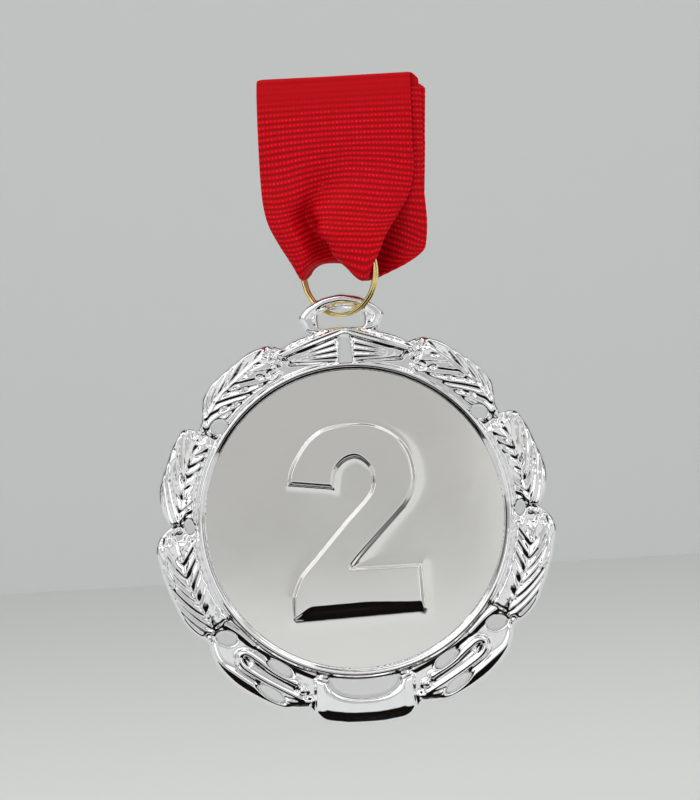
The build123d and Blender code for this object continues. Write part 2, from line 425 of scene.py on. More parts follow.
def window(points, margin):
    """The part of the grid, on the right half, that a stroke can reach."""
    p = np.array(points)
    rows = (V[:, 0] > p[:, 1].min() - margin) & (V[:, 0] < p[:, 1].max() + margin)
    cols = (U[0] > max(p[:, 0].min() - margin, -0.001)) & (U[0] < p[:, 0].max() + margin)
    return np.ix_(rows, cols)


def raise_to(cells, height, within):
    """Raise part of the relief to a height, where it is within a shape and not higher yet."""
    relief[cells] = np.where(within, np.maximum(relief[cells], height), relief[cells])


def leaf(base, tip, half_width, top, bend=0.0, root=0.35, veins=0.0, midrib=0.14):
    """One leaf of the relief: from its base to its tip, crowned, with a midrib and raked veins. It rises
    from root towards its tip, so that it lies over the leaf beyond."""
    base, tip = np.array(base, float), np.array(tip, float)
    axis = tip - base
    length = np.linalg.norm(axis)
    axis /= length
    cells = window([base, tip], half_width + abs(bend) + 0.6)
    u, v = U[cells], V[cells]
    du, dv = u - base[0], v - base[1]
    a = (du * axis[0] + dv * axis[1]) / length
    side = (du * axis[1] - dv * axis[0]) - bend * 4 * a * (1 - a)
    a_in = unit(a)
    width = half_width * np.sin(np.pi * a_in ** 0.75) ** 0.62 + 1e-6
    b = side / width
    lens = unit(1 - np.abs(b) ** 2.4) ** 0.6
    rise = root + (1 - root) * np.sin(np.pi * 0.5 * unit(a_in * 1.25))
    h = WEB + (top - WEB) * rise * lens - midrib * bell(side, 0.15) * lens
    if veins:
        phase = a * length * 0.34 - np.abs(side) * 1.15
        h = h + veins * np.cos(phase * 2 * np.pi) * lens * (0.7 + 0.3 * np.sin(1.9 * a * length))
    raise_to(cells, h, (a > 0) & (a < 1) & (np.abs(b) < 1))


def bar(path, half_width, top):
    """A half-round bar of the relief along a path."""
    path = np.array(path)
    cells = window(path, half_width + 0.3)
    b = path_distance(U[cells], V[cells], path) / half_width
    raise_to(cells, WEB + (top - WEB) * round_over(b), b < 1)


def bead(centre, radius, top):
    """A ball standing in the relief."""
    cells = window([centre], radius + 0.3)
    d = np.hypot(U[cells] - centre[0], V[cells] - centre[1]) / radius
    raise_to(cells, top - radius * 0.9 + radius * 0.9 * round_over(d), d < 1)


def pit(angle, radius, length, width, deep, tilt):
    """A dark almond-shaped hollow in the relief."""
    cells = window([polar(angle, radius)], length)
    e = ellipse(U[cells], V[cells], angle, radius, length, width, tilt)
    k = np.clip(e / (width / 2) + 0.3, 0, 1.3) / 1.3
    relief[cells] = relief[cells] * (1 - k) + deep * k


def feather(stem, outer, inner, pits, top, seed):
    """A lobe full of narrow leaves, raked upwards from a stem on both sides and overlapping like barbs. The
    stem is given as (angle, radius) from its upper end down, and each side as (pitch along the stem, slope,
    curve, height of a leaf)."""
    rng = np.random.default_rng(seed)
    low, high = stem[0][0], stem[-1][0]
    here = (T > low - 2) & (T < high + 2) & (R > RIM_OUT) & (border_sdf > -0.5)
    t, r = T[here], R[here]
    d = r - hermite(t, stem)
    far = np.abs(d)
    along = np.radians(t) * LOBE_R
    h = np.zeros(t.shape)
    for side, (pitch, slope, curve, height) in ((d >= 0, outer), (d < 0, inner)):
        phase = (along + slope * far + curve * far ** 2) / pitch
        k = np.floor(phase).astype(int)
        w = phase - k
        size = rng.uniform(0.55, 1.25, BARBS)[k % BARBS]
        ridge = np.sin(np.pi * w ** 1.25) ** 0.75 + 0.45 * (1 - w)
        streaks = 0.3 * np.sin(3 * np.pi * w + 0.9 * k)
        barb = height * size * (ridge + streaks)
        hollow = pits * bell(np.minimum(w, 1 - w), 0.14) * bell(far - 0.55, 0.35)
        hollowed = rng.uniform(0, 1, BARBS)[np.round(phase).astype(int) % BARBS] > 0.5
        h = np.where(side, barb - hollow * hollowed, h)
    crown = smoothstep(far, -0.4, 1.3) * 0.22
    ground = 0.95 * (top - WEB)
    ends = smoothstep(t, low - 1.5, low) * (1 - smoothstep(t, high, high + 1.5))
    near_rim = smoothstep(r, RIM_OUT + 0.25, RIM_OUT + 1.0)
    h = WEB + (ground - 0.3 + crown + h - 0.16 * bell(far, 0.16)) * ends * near_rim
    relief[here] = np.maximum(relief[here], h)


# Upper lobe: a long leaf of fine streaks along the outline, a crease, and a sheaf of narrow leaves within
feather([(25.5, 30.6), (32.2, 30.2), (39, 29.9), (45, 29.9), (51, 29.5), (55.5, 28.6)],
        (2.5, 2.6, 0.25, 0.24), (2.3, 1.6, 0.1, 0.26), 0.5, 1.5, 11)
bar(around((52.5, 29.3), (45, 29.75), (39, 29.75), (32.2, 30.05), (26.5, 30.4)), 0.3, 1.7)
for *place, size in ((24.3, 29.9, 0.4), (25.8, 29.2, 0.36), (23.0, 29.1, 0.36), (24.5, 28.4, 0.4),
                     (26.9, 28.3, 0.34), (22.9, 28.2, 0.3), (27.4, 29.9, 0.34), (23.0, 30.8, 0.36),
                     (28.6, 28.9, 0.34), (25.5, 30.8, 0.34)):
    bead(polar(*place), size, 1.6)
pit(25.6, 26.9, 2.6, 1.15, 0.1, 24)
leaf(polar(27.8, 26.1), polar(23.0, 26.9), 0.42, 1.2, midrib=0.0)
for place in ((30.5, 27.9, 1.2), (37.0, 27.7, 1.6), (42.5, 26.9, 1.5), (46.5, 27.9, 1.4)):
    pit(*place, 0.5, 0.75, 25)

# Middle and lower lobes: leaves raked from a stem, and two blunt leaves at the upper end
feather([(60.5, 28.4), (70, 28.3), (80, 28.3), (88, 28.6)],
        (2.6, 1.5, 0.3, 0.28), (1.9, 0.95, 0.1, 0.2), 0.35, 1.42, 3)
bar(around((75, 31.0), (70, 31.2), (64, 31.1), (58.6, 30.7)), 0.35, 1.62)
leaf(polar(65.8, 28.0), polar(57.9, 27.3), 0.85, 1.62, bend=-0.2, root=0.6, midrib=0.16)
leaf(polar(66.0, 29.2), polar(57.6, 30.4), 0.8, 1.62, bend=0.1, root=0.6, midrib=0.12)
bead(polar(59.4, 28.7), 0.3, 1.65)
feather([(95, 28.9), (104, 28.9), (114, 28.8), (124, 29.0)],
        (2.4, 1.4, 0.28, 0.19), (2.2, 1.1, 0.05, 0.17), 0.25, 1.42, 7)
bar(around((108, 31.3), (101, 31.7), (96, 31.5), (92.6, 30.9)), 0.35, 1.62)
leaf(polar(101.0, 28.2), polar(92.3, 27.6), 0.8, 1.6, bend=-0.15, root=0.6, midrib=0.14)
leaf(polar(101.0, 29.7), polar(91.8, 30.0), 0.85, 1.6, bend=0.1, root=0.6, midrib=0.14)
for *place, size in ((90.4, 28.7, 0.4), (91.0, 29.8, 0.4), (88.2, 28.9, 0.36), (56.8, 28.6, 0.4),
                     (124.8, 29.8, 0.45), (126.0, 30.6, 0.4), (124.2, 27.6, 0.4)):
    bead(polar(*place), size, 1.35)
pit(85.5, 27.4, 1.5, 0.5, 0.9, 40)
pit(99.0, 29.0, 1.4, 0.5, 0.9, 40)

# Roof under the bail: a gable of two ridges, leaves fanned against the slot, short leaves above
for lower in (0.0, 0.7):
    bar([(10.9 - lower, 27.35 - 0.4 * lower), (5.2, 29.5 - lower), (0.0, 31.2 - lower)], 0.36, 1.78)
FAN_U, FAN_V, FAN_STEP = 10.4, 26.2, 6.8  # the leaves' common point, and the degrees from leaf to leaf
fan = polygon_sdf(A, V, np.array([(1.2, 25.6), (9.2, 25.6), (10.2, 26.9), (5.2, 28.7), (1.2, 30.3)]))
fan_angle = np.degrees(np.arctan2(V - FAN_V, FAN_U - A))
leaves = 0.35 + 0.42 * np.abs(np.sin(np.pi * fan_angle / FAN_STEP)) ** 0.7
relief = np.maximum(relief, WEB + leaves * smoothstep(fan, 0.0, 0.3))
for k in range(7):
    leaf((2.6 + 1.25 * k, 30.35 - 0.42 * k), (0.8 + 1.25 * k, 31.75 - 0.35 * k), 0.44, 1.35,
         root=0.5, midrib=0.0)
leaf(polar(20.5, 30.0), polar(9.0, 30.4), 0.6, 1.25, bend=0.35, veins=0.08)
bar([(1.18, 25.5), (1.1, 28.0), (0.85, 30.3)], 0.24, 1.55)
bar([(0.0, 30.35), (0.9, 30.2)], 0.3, 1.4)

# Scrolls: a band that falls away to the outline, and a ribbed hook that runs to a ball beside the bow
from_outline = outline_radius(T) - R
crest = hermite(T, [(126, 0.8), (133, 0.85), (139, 1.5), (150, 1.6), (165, 1.5)])
outward = WEB + 0.6 * np.clip(from_outline - EDGE_LIP, 0, None)
inward = WEB + 0.6 * (crest - EDGE_LIP) - 0.8 * (from_outline - crest)
band = np.minimum(outward, inward)
on_band = smoothstep(T, 126.0, 128.5) * (1 - smoothstep(T, 163.0, 164.5))
relief = np.maximum(relief, WEB + (band - WEB) * on_band)
hook = catmull(around((160.5, 30.6), (154, 30.2), (146, 30.1), (139.8, 30.1), (136.6, 29.2),
                      (137.8, 28.1), (142, 27.9), (149, 28.2), (157, 28.5)), 8)
bar(hook, 0.78, 1.55)
bar(hook, 0.3, 1.75)
bar(catmull(around((157, 29.4), (149, 29.2), (141.5, 29.15)), 8), 0.4, 1.3)
bar(catmull(around((126, 27.2), (131, 26.5), (138, 26.4)), 6), 0.55, 1.0)
bar(catmull(around((140, 26.2), (150, 26.1), (162, 26.3)), 6), 0.4, 0.95)
bead(polar(159.8, 29.2), 0.78, 1.85)

# Bow: a broad smooth band round the opening, its lower face falling away to the outline
BOW_SIDE = 8.25  # half the width of the whole bow
BOW_TOP = 1.95  # depth of its highest part
lower_face = 0.92 + 0.58 * np.clip(from_outline - EDGE_LIP, 0, 2)
side_face = 1.2 + 0.38 * np.clip(BOW_SIDE - bow_half, 0, FAR)
inner_face = 0.85 + 1.15 * (1 - (1 - unit(-bow_hole / 1.1)) ** 2)
bow = np.minimum.reduce([lower_face, side_face, inner_face, np.full(U.shape, BOW_TOP)])
on_bow = smoothstep(BOW_SIDE + 0.1 - bow_half, 0.0, 0.3) * smoothstep(R, 26.5, 27.3)
relief = relief * (1 - on_bow) + bow * on_bow
bar(catmull(around((180, 26.1), (172, 26.15), (165, 26.3)), 5), 0.42, 1.0)

# Both sides alike
relief[:, :middle] = relief[:, middle + 1:][:, ::-1]

# Bail: its root, then two rounded strands, the upper face falling back to the waist of the eye
ROOT_DEPTH, ROOT_R = 1.25, 29.8  # depth of the root, and the radius that it starts from
relief = np.where((bail_sdf > 0.2) & (R > ROOT_R), np.maximum(relief, ROOT_DEPTH), relief)
strand_out = np.clip(bail_sdf, 0, FAR)
crown = 0.35 + 0.75 * round_over(np.clip(strand_out / 1.05, 0, 2) - 1)
second = 0.3 + 0.75 * round_over((strand_out - 2.35) / 0.95)
arch = smoothstep(V, 33.9, 34.9)
side_bar = np.maximum(crown, second)
slope = crown * (1 - smoothstep(strand_out, 1.05, 2.6)) - 0.75 * smoothstep(strand_out, 1.0, 2.5)
bail_depth = side_bar * (1 - arch) + slope * arch
on_bail = smoothstep(bail_sdf, 0.0, 0.5) * smoothstep(V, 29.6, 32.0) * smoothstep(R, 30.6, 32.0)
relief = relief * (1 - on_bail) + bail_depth * on_bail

# Rim: a hollow wall down to the disc, a fine bead on top
RIM_TOP, RIM_WALL = 1.45, 0.56  # depth of the rim's top, and width of its hollow wall
BEAD_R, BEAD_HALF = 25.25, 0.28  # the bead's middle and half its width
FALL_IN, FALL_OUT = 25.5, 26.0  # where the rim falls away to the border
wall = smoothstep(R, RIM_IN, RIM_IN + RIM_WALL)
rim_depth = DISC_FRONT - 0.1 + (RIM_TOP - DISC_FRONT) * wall ** 1.6
rim_depth = rim_depth + 0.1 * round_over((R - BEAD_R) / BEAD_HALF)
rim_depth = rim_depth - 0.95 * smoothstep(R, FALL_IN, FALL_OUT)
relief = np.where(R < FALL_OUT, np.maximum(rim_depth, np.where(R > RIM_OUT, relief, -FAR)), relief)

# Cast and plated: no sharp creases
smooth(relief, 2)

# Rounded edges: the relief falls away towards the silhouette
LOW_EDGE = -0.35  # depth that the relief falls to
outer_edge = np.where(R < RIM_IN + 0.9, FAR, silhouette)
reach = np.where(-holes < outer_edge + 0.02, 0.4, 0.6)  # shorter beside the openings
relief = LOW_EDGE + (relief - LOW_EDGE) * round_over(1 - unit(outer_edge / reach))


def casting_floor(u, v):
    """The wall of the recess goes down to its floor, and every other wall to the back."""
    r = np.hypot(u, v)
    if r.max() < RIM_IN + 0.3 and r.mean() > RIM_IN - 0.5:
        return np.full(u.shape, FLOOR), False
    return BACK + BAIL_STEP * smoothstep(v, 31.0, 32.6), True


casting = relief_mesh("medal_casting", us, vs, relief, silhouette, casting_floor)
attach(casting, "medal")
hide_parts("medal_body")

# ---------- number disc
NUMERAL_T = 0.75  # height of the numeral over the disc
DISC_R = FIELD_R - 0.08  # clear of the rim's wall
DOME, DOME_R = 0.05, 24.3  # the disc's face is crowned by this much, over this radius
bowl = catmull([(-10.5, 6.1), (-10.1, 8.3), (-8.9, 10.6), (-6.9, 13.2), (-4.3, 14.9), (0.1, 15.6),
                (4.2, 15.1), (7.6, 13.1), (9.6, 10.1), (10.2, 6.3), (9.6, 3.9), (8.2, 1.6)], 5)
diagonal_out = catmull([(8.2, 1.6), (0.2, -6.4), (-0.8, -7.9)], 3)
diagonal_in = catmull([(-10.8, -12.2), (-9.4, -9.0), (-6.8, -6.1), (-1.1, 0.1)], 4)
inner = catmull([(-1.1, 0.1), (1.8, 3.0), (3.0, 4.7), (3.3, 6.4), (2.8, 8.4), (1.0, 9.9), (-1.0, 9.6),
                 (-2.6, 8.0), (-3.2, 5.1)], 4)
foot = [(10.3, -7.9), (10.5, -15.1), (10.2, -15.5), (-10.5, -16.1), (-10.9, -15.6)]
NUMERAL = np.vstack([bowl[:-1], diagonal_out, foot, diagonal_in[:-1], inner])
FINE, COARSE = 0.12, 0.45  # the disc's grid, over the numeral and beyond it


def disc_lines(reach_low, reach_high):
    """Grid lines across the disc, closer together over the numeral."""
    return np.concatenate([
        np.arange(-FIELD_R - COARSE, reach_low, COARSE),
        np.arange(reach_low, reach_high, FINE),
        np.arange(reach_high, FIELD_R + 2 * COARSE, COARSE),
    ])


du_lines, dv_lines = disc_lines(-12.6, 12.6), disc_lines(-17.4, 17.0)
DU, DV = np.meshgrid(du_lines, dv_lines)
DR = np.hypot(DU, DV)
numeral = polygon_sdf(DU, DV, NUMERAL)
ngu, ngv = np.gradient(numeral, dv_lines, du_lines)[::-1]
# How far the numeral's edge there faces down, and how far to the right
facing_down = unit(ngv / (np.hypot(ngu, ngv) + TINY))
facing_right = unit(-ngu / (np.hypot(ngu, ngv) + TINY))
smooth(facing_right, 8)
wall_w = 0.42 + 0.35 * facing_down ** 4 * smoothstep(DV, 0.0, 4.0) + 0.22 * facing_right
# The foot's lower side is a broad slope: narrow at its left end, widest next to it, narrower to the right
base_line = -15.81 + 0.031 * DU
base_width = (0.5 + 1.7 * smoothstep(DU, -11.2, -7.6)) - 0.65 * smoothstep(DU, 0.0, 10.5)
base = unit((DV - base_line) / base_width)
base = base + 0.08 * np.sin(2 * np.pi * base)
raised = np.minimum(1 - (1 - unit(numeral / wall_w)) ** 2, base)
swell = 0.06 + 0.11 * facing_right  # of the disc, up to the numeral's wall
ground = swell * np.exp(np.clip(numeral, -FAR, 0) / 0.6)
raised = np.where(numeral > 0, swell + raised * (NUMERAL_T - swell), ground)
disc_depth = DISC_FRONT + raised + DOME * (1 - (DR / DOME_R) ** 2)


def disc_floor(u, v):
    """The disc's wall goes straight down to its flat back."""
    return np.full(u.shape, DISC_BACK), True


disc = relief_mesh("number_disc_face", du_lines, dv_lines, disc_depth, DISC_R - DR, disc_floor, 0.05)
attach(disc, "medal")
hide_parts("number_disc")

# ---------- ribbon
# A strip 25 mm wide, sewn into a loop. Both strands hang from the top fold to the ring and pass through
# it; the rest of the loop is folded to and fro behind them. Rows run across the strip, from the left
# selvage to the right one, in mm: v is the height above the medal's centre.
RIBBON_W = 25.0
RIB_PITCH = 0.93
FLOAT_PITCH = 0.63  # of the yarn floats along a rib
CORE_HALF, RIB_HEIGHT = 0.1, 0.07
LAYER = 0.34  # from one layer of the packet to the next
TOP_V = -MEDAL_Z  # the fold that the object hangs by
FRONT_Y = -2.05  # the front layer
FRONT_X = 0.85  # its middle at the top, to the right of the medal's
PACKET_X = 2.35  # the packet's middle
SELVAGE = 0.5  # the strip thins over this width at both sides
PACKET_LOW_V = 50.9
PACKET_MID_V = 61.5
WEAVE_UNIT = 10.0  # mm of strip in 1 unit of the weave's coordinates
INNER_CREST_V = TOP_V - 1.95  # of the back strand's top fold, at its middle
LEAN = math.radians(3.4)  # the packet leans to the right behind the front layer
SIDE_F = np.array((0, 0.01, 0.03, 0.25, 0.5, 0.75, 0.97, 0.99, 1))  # columns of the packet


def row(x, y, v):
    """A row of points across the strip."""
    return np.stack([x, y, v], 1)


def flat_row(left, right, y, v, sag=0.0, tilt=0.0, curve=0.0):
    """A plain row: straight, or bowed forward by sag and down by curve, its right end raised by tilt."""
    f = np.linspace(0, 1, 13)
    arch = 4 * f * (1 - f)
    return row(left + (right - left) * f, y - sag * arch, v + tilt * f - curve * arch)


def on_packet(w, y, v):
    """Points of the leaning packet, w across it from its middle, as (x, y, v)."""
    return PACKET_X + w + (v - PACKET_MID_V) * math.sin(LEAN), y + 0 * w, v - w * math.sin(LEAN)


# Front strand, from the top fold down. A valley opens below v = 54 and deepens into a pleat: the right
# part comes forward over the left one, with a folded edge of its own.
front_rows = [
    flat_row(-11.6, 13.3, FRONT_Y + 1.5 * LAYER, TOP_V - 0.2),
    flat_row(-11.75, 13.25, FRONT_Y + 0.6 * LAYER, TOP_V - 0.4),
    flat_row(-11.85, 13.2, FRONT_Y + 0.1, TOP_V - 1.2),
    flat_row(-11.95, 13.15, FRONT_Y - 0.2, TOP_V - 3.2, 0.1),
    flat_row(-12.05, 13.05, FRONT_Y - 0.4, 65.0, 0.2, 0.1, -0.2),
    flat_row(-12.1, 12.95, FRONT_Y - 0.5, 60.6, 0.4, 0.3, -0.6),
    row((-12.1, -10.0, -7.9, -5.8, -3.8, -1.7, 0.4, 2.5, 4.6, 6.6, 8.7, 10.8, 12.9),
        (-2.1, -2.6, -2.9, -3.0, -2.8, -2.6, -2.7, -2.9, -3.0, -3.0, -2.9, -2.6, -2.3),
        (56.0, 56.0, 56.2, 56.7, 57.1, 57.4, 57.6, 57.7, 57.5, 57.3, 57.0, 56.6, 56.3)),
    row((-11.9, -9.9, -7.9, -6.0, -4.4, -2.6, -0.8, 1.2, 3.3, 5.5, 7.6, 9.8, 11.9),
        (-2.2, -2.9, -3.3, -3.0, -2.0, -1.6, -2.1, -3.0, -3.5, -3.7, -3.5, -3.1, -2.5),
        (51.9, 51.7, 51.9, 52.4, 53.1, 53.6, 53.8, 53.7, 53.5, 53.2, 52.9, 52.7, 52.5)),
    row((-11.2, -9.5, -7.8, -6.6, -5.3, -4.1, -3.6, -1.9, 0.4, 2.9, 5.5, 7.8, 10.0),
        (-2.4, -3.4, -3.2, -1.8, -0.3, -0.9, -2.8, -4.1, -4.4, -4.4, -4.3, -3.9, -3.2),
        (48.5, 48.3, 48.6, 49.2, 49.8, 50.1, 50.1, 50.1, 49.9, 49.6, 49.2, 49.0, 49.2)),
    row((-9.6, -8.0, -6.2, -5.0, -3.7, -1.9, -1.4, -3.0, -2.8, -0.5, 2.2, 5.0, 7.8),
        (-2.4, -3.5, -3.2, -1.6, -0.1, 0.1, -1.3, -2.5, -4.4, -5.4, -5.3, -5.1, -4.3),
        (45.1, 44.8, 45.1, 45.7, 46.2, 46.6, 46.8, 46.7, 46.7, 46.2, 46.0, 45.8, 45.9)),
    row((-8.3, -6.8, -5.3, -4.2, -2.8, -0.9, 0.9, 0.1, -1.3, 0.1, 2.4, 4.5, 6.4),
        (-2.3, -3.3, -2.8, -1.2, 0.4, 1.1, 0.1, -1.7, -3.5, -5.1, -5.2, -5.2, -4.8),
        (42.8, 42.3, 42.9, 43.6, 44.1, 44.5, 44.5, 44.2, 43.9, 43.2, 42.8, 42.4, 42.9)),
    row((-7.1, -6.4, -5.4, -4.1, -2.6, -0.7, 1.2, 1.1, 0.2, 1.4, 2.8, 4.0, 5.0),
        (-2.0, -2.5, -2.2, -1.2, 0.0, 0.6, 0.2, -1.2, -2.7, -3.9, -4.4, -4.6, -4.5),
        (40.7, 39.9, 41.2, 42.1, 42.5, 42.8, 42.7, 42.3, 42.0, 40.7, 39.5, 39.1, 40.4)),
]
# Through the ring, below its upper arc, with the left end gathered to a point
turn_rows = [
    row((-6.3, -5.9, -5.1, -3.8, -2.2, -0.4, 1.2, 1.9, 1.7, 2.4, 3.3, 4.3, 4.8),
        (-0.7, -0.8, -0.4, 0.4, 1.2, 1.6, 1.1, -0.2, -1.5, -2.3, -2.7, -2.8, -2.7),
        (39.6, 39.4, 40.8, 41.8, 42.1, 42.1, 41.9, 41.4, 40.9, 39.8, 38.9, 38.8, 39.4)),
    row((-5.0, -4.7, -4.2, -3.1, -1.7, 0.0, 1.6, 2.5, 3.0, 3.9, 4.9, 5.9, 6.7),
        (1.3, 1.4, 1.7, 2.2, 2.6, 2.7, 2.2, 1.2, 0.3, -0.4, -0.9, -1.4, -1.8),
        (40.7, 40.6, 41.3, 42.0, 42.3, 42.3, 41.8, 41.1, 40.4, 39.6, 39.1, 39.1, 39.6)),
]
# Back strand, up behind the front one and out to its right
back_rows = [
    row((-4.8, -4.5, -3.9, -3.0, -1.6, 0.1, 1.8, 3.4, 5.0, 6.7, 8.4, 9.8, 11.0),
        (4.1, 4.2, 4.2, 4.1, 3.8, 3.5, 3.0, 2.4, 1.6, 0.6, -0.4, -1.1, -1.4),
        (43.0, 43.0, 43.3, 43.6, 43.9, 44.0, 43.7, 43.1, 42.2, 41.4, 40.9, 40.9, 41.2)),
    row((-6.5, -5.4, -4.1, -2.5, -0.7, 1.3, 3.3, 5.3, 7.3, 9.2, 10.9, 12.4, 13.6),
        (4.3, 4.4, 4.2, 3.8, 3.3, 2.8, 2.2, 1.6, 0.8, 0.0, -0.7, -1.1, -1.2),
        (45.4, 45.5, 45.7, 46.1, 46.3, 46.4, 46.1, 45.6, 44.7, 43.8, 43.0, 42.7, 42.9)),
    row((-8.0, -6.5, -4.8, -2.9, -0.9, 1.2, 3.4, 5.6, 7.8, 9.9, 11.8, 13.3, 14.3),
        (3.2, 3.2, 2.9, 2.5, 2.0, 1.6, 1.2, 0.7, 0.1, -0.4, -0.8, -1.1, -1.2),
        (47.9, 48.0, 48.3, 48.6, 48.7, 48.8, 48.5, 48.1, 47.5, 46.7, 45.8, 45.0, 44.6)),
    row((-9.6, -7.8, -5.8, -3.7, -1.6, 0.6, 2.8, 5.0, 7.2, 9.3, 11.3, 13.1, 14.6),
        (0.4, 0.3, 0.1, -0.1, -0.3, -0.5, -0.6, -0.8, -0.9, -1.1, -1.3, -1.4, -1.5),
        (50.1, 50.2, 50.3, 50.4, 50.5, 50.5, 50.4, 50.3, 50.0, 49.7, 49.2, 48.7, 48.3)),
    flat_row(-10.5, 14.4, FRONT_Y + LAYER, 54.5, 0.05, -0.7),
    flat_row(-10.3, 14.6, FRONT_Y + LAYER, 60.0, 0.0, -1.1),
    flat_row(-10.2, 14.8, FRONT_Y + LAYER, 66.0, 0.0, -1.6),
    flat_row(-10.1, 14.8, FRONT_Y + LAYER, INNER_CREST_V - 0.9, 0.0, -1.85),
    flat_row(-10.1, 14.8, FRONT_Y + 1.2 * LAYER, INNER_CREST_V + 0.85, 0.0, -1.85),
    flat_row(-10.1, 14.8, FRONT_Y + 1.5 * LAYER, INNER_CREST_V + 0.93, 0.0, -1.85),
]


def reach_of(steps):
    """How far along a line each of its points lies, from the lengths of its steps."""
    return np.concatenate(([0], np.cumsum(steps)))


def resample(points, reach, where):
    """A line's points at other places along it."""
    return np.stack([np.interp(where, reach, column) for column in points.T], 1)


def even_row(points, count):
    """A row's smooth curve, as points evenly spaced along it."""
    curve = catmull(points, 8)
    reach = reach_of(np.linalg.norm(np.diff(curve, axis=0), axis=1))
    return resample(curve, reach, np.linspace(0, reach[-1], count))


def fine_strip(rows, across, spacing):
    """The control rows as an even grid: its points, and how far along the strip each row lies."""
    wide = np.stack([even_row(r, across + 1) for r in rows])
    along = np.stack([catmull(wide[:, j], 24) for j in range(across + 1)], 1)
    reach = reach_of(np.linalg.norm(np.diff(along, axis=0), axis=2).mean(axis=1))
    s = np.linspace(0, reach[-1], int(reach[-1] / spacing) + 1)
    return resample(along.reshape(len(along), -1), reach, s).reshape(len(s), across + 1, 3), s


def packet_strip(panels):
    """The folded rest of the loop, behind the two strands: out along the outer strand, round the end of
    the loop, and back along the inner one. Each panel holds both, and at each fold one wraps the other."""
    rng = np.random.default_rng(11)
    tops = TOP_V - 1.25 - rng.uniform(0, 1.1, panels)
    lows = PACKET_LOW_V + rng.uniform(0, 0.8, panels)
    tops[0] = TOP_V - 0.2
    shift = PACKET_X + rng.uniform(-0.28, 0.28, panels + 1)
    shift[0] = FRONT_X
    lean = np.full(panels + 1, LEAN) + np.radians(rng.uniform(-0.35, 0.35, panels + 1))
    lean[0] = 0

    def place(p, outer):
        """The y of a strand in a panel."""
        behind = (p % 2 == 0) != outer
        return FRONT_Y + LAYER * (2 * p + behind)

    def strand(outer):
        """Points (y, v, panel) from the first top fold to the far end."""
        pts = []
        for p in range(panels):
            y0, y1 = place(p, outer), place(p + 1, outer)
            mid, h = (y0 + y1) / 2, (y1 - y0) / 2
            up = p % 2 == 0  # the fold after this panel is at the top
            tip = tops[p] if up else lows[p]
            wraps = h > LAYER  # this strand wraps the other one at the fold
            sign = -1 if up else 1
            if not wraps:
                tip = tip + sign * LAYER
            if p == 0 and not outer:
                tip = INNER_CREST_V
            bulge = 1.04 if wraps else 1.2
            rise = h * 1.05 if wraps else h * 1.4
            for k in np.linspace(-1, 1, 9 if wraps else 7):
                if p == 0 and k < 0:
                    continue
                a = k * math.pi / 2
                panel_at = p + 0.5 + 0.02 * k if p else (0.5 * k if outer else 1.0)
                pts.append((mid + h * bulge * math.sin(a), tip + sign * rise * (1 - math.cos(a)), panel_at))
        return pts

    # The number of panels is even, so the loop ends at the top
    y0, y1 = place(panels, False), place(panels, True)
    mid, h = (y0 + y1) / 2, (y1 - y0) / 2
    turn = [(mid + h * 1.2 * math.cos(a), TOP_V - 0.8 + abs(h) * 1.4 * math.sin(a), panels)
            for a in np.linspace(0, math.pi, 7)]
    knots = np.array([*strand(True), *turn, *strand(False)[::-1]])
    path = [knots[0]]
    for a, b in zip(knots[:-1], knots[1:]):
        count = max(1, int(round(np.hypot(*(b - a)[:2]) / (RIB_PITCH / 3))))
        path += [a + (b - a) * t for t in np.linspace(0, 1, count + 1)[1:]]
    path = np.array(path)
    s = reach_of(np.hypot(*np.diff(path[:, :2], axis=0).T))
    y, v, panel_at = path.T[:, :, None]
    centre = np.interp(panel_at, np.arange(panels + 1), shift)
    angle = np.interp(panel_at, np.arange(panels + 1), lean)
    w = (SIDE_F - 0.5) * RIBBON_W
    v = v - PACKET_MID_V
    grid = np.stack([centre + w * np.cos(angle) + v * np.sin(angle), y + 0 * w,
                     PACKET_MID_V + v * np.cos(angle) - w * np.sin(angle) * 1.25], 2)
    return grid, s


def strip_parts(grid, s, f, rib_strength):
    """A woven strip with thickness, ribbed on both faces and thinner at its selvages, as points, faces
    and the weave's coordinates."""
    rows, cols, _ = grid.shape
    down = np.gradient(grid, axis=0)
    across = np.gradient(grid, axis=1)
    normal = np.cross(across, down)
    normal /= np.linalg.norm(normal, axis=2, keepdims=True) + TINY
    rib = np.abs(np.sin(np.pi * s / RIB_PITCH))[:, None] ** 0.8 * rib_strength[:, None]
    selvage = np.clip(np.minimum(f, 1 - f) * RIBBON_W / SELVAGE, 0.04, 1)[None, :] ** 0.5
    lift = ((CORE_HALF + RIB_HEIGHT * rib) * selvage)[:, :, None]
    points = np.concatenate([(grid + normal * lift).reshape(-1, 3), (grid - normal * lift).reshape(-1, 3)])
    n = rows * cols
    r, c = np.meshgrid(np.arange(rows - 1), np.arange(cols - 1), indexing="ij")
    i = (r * cols + c).ravel()
    upper = np.stack([i, i + cols, i + cols + 1, i + 1], 1)
    faces = [*upper.tolist(), *(upper[:, ::-1] + n).tolist()]
    last = (rows - 1) * cols
    for a in range(0, last, cols):
        b = a + cols - 1
        faces.append([a, a + n, a + cols + n, a + cols])
        faces.append([b + cols, b + cols + n, b + n, b])
    for a in range(cols - 1):
        b = a + last
        faces.append([a, a + 1, a + 1 + n, a + n])
        faces.append([b + 1, b, b + n, b + 1 + n])
    weave = np.stack([np.tile(f * RIBBON_W / WEAVE_UNIT, rows), np.repeat(s / WEAVE_UNIT, cols)], 1)
    return points, faces, np.tile(weave, (2, 1))


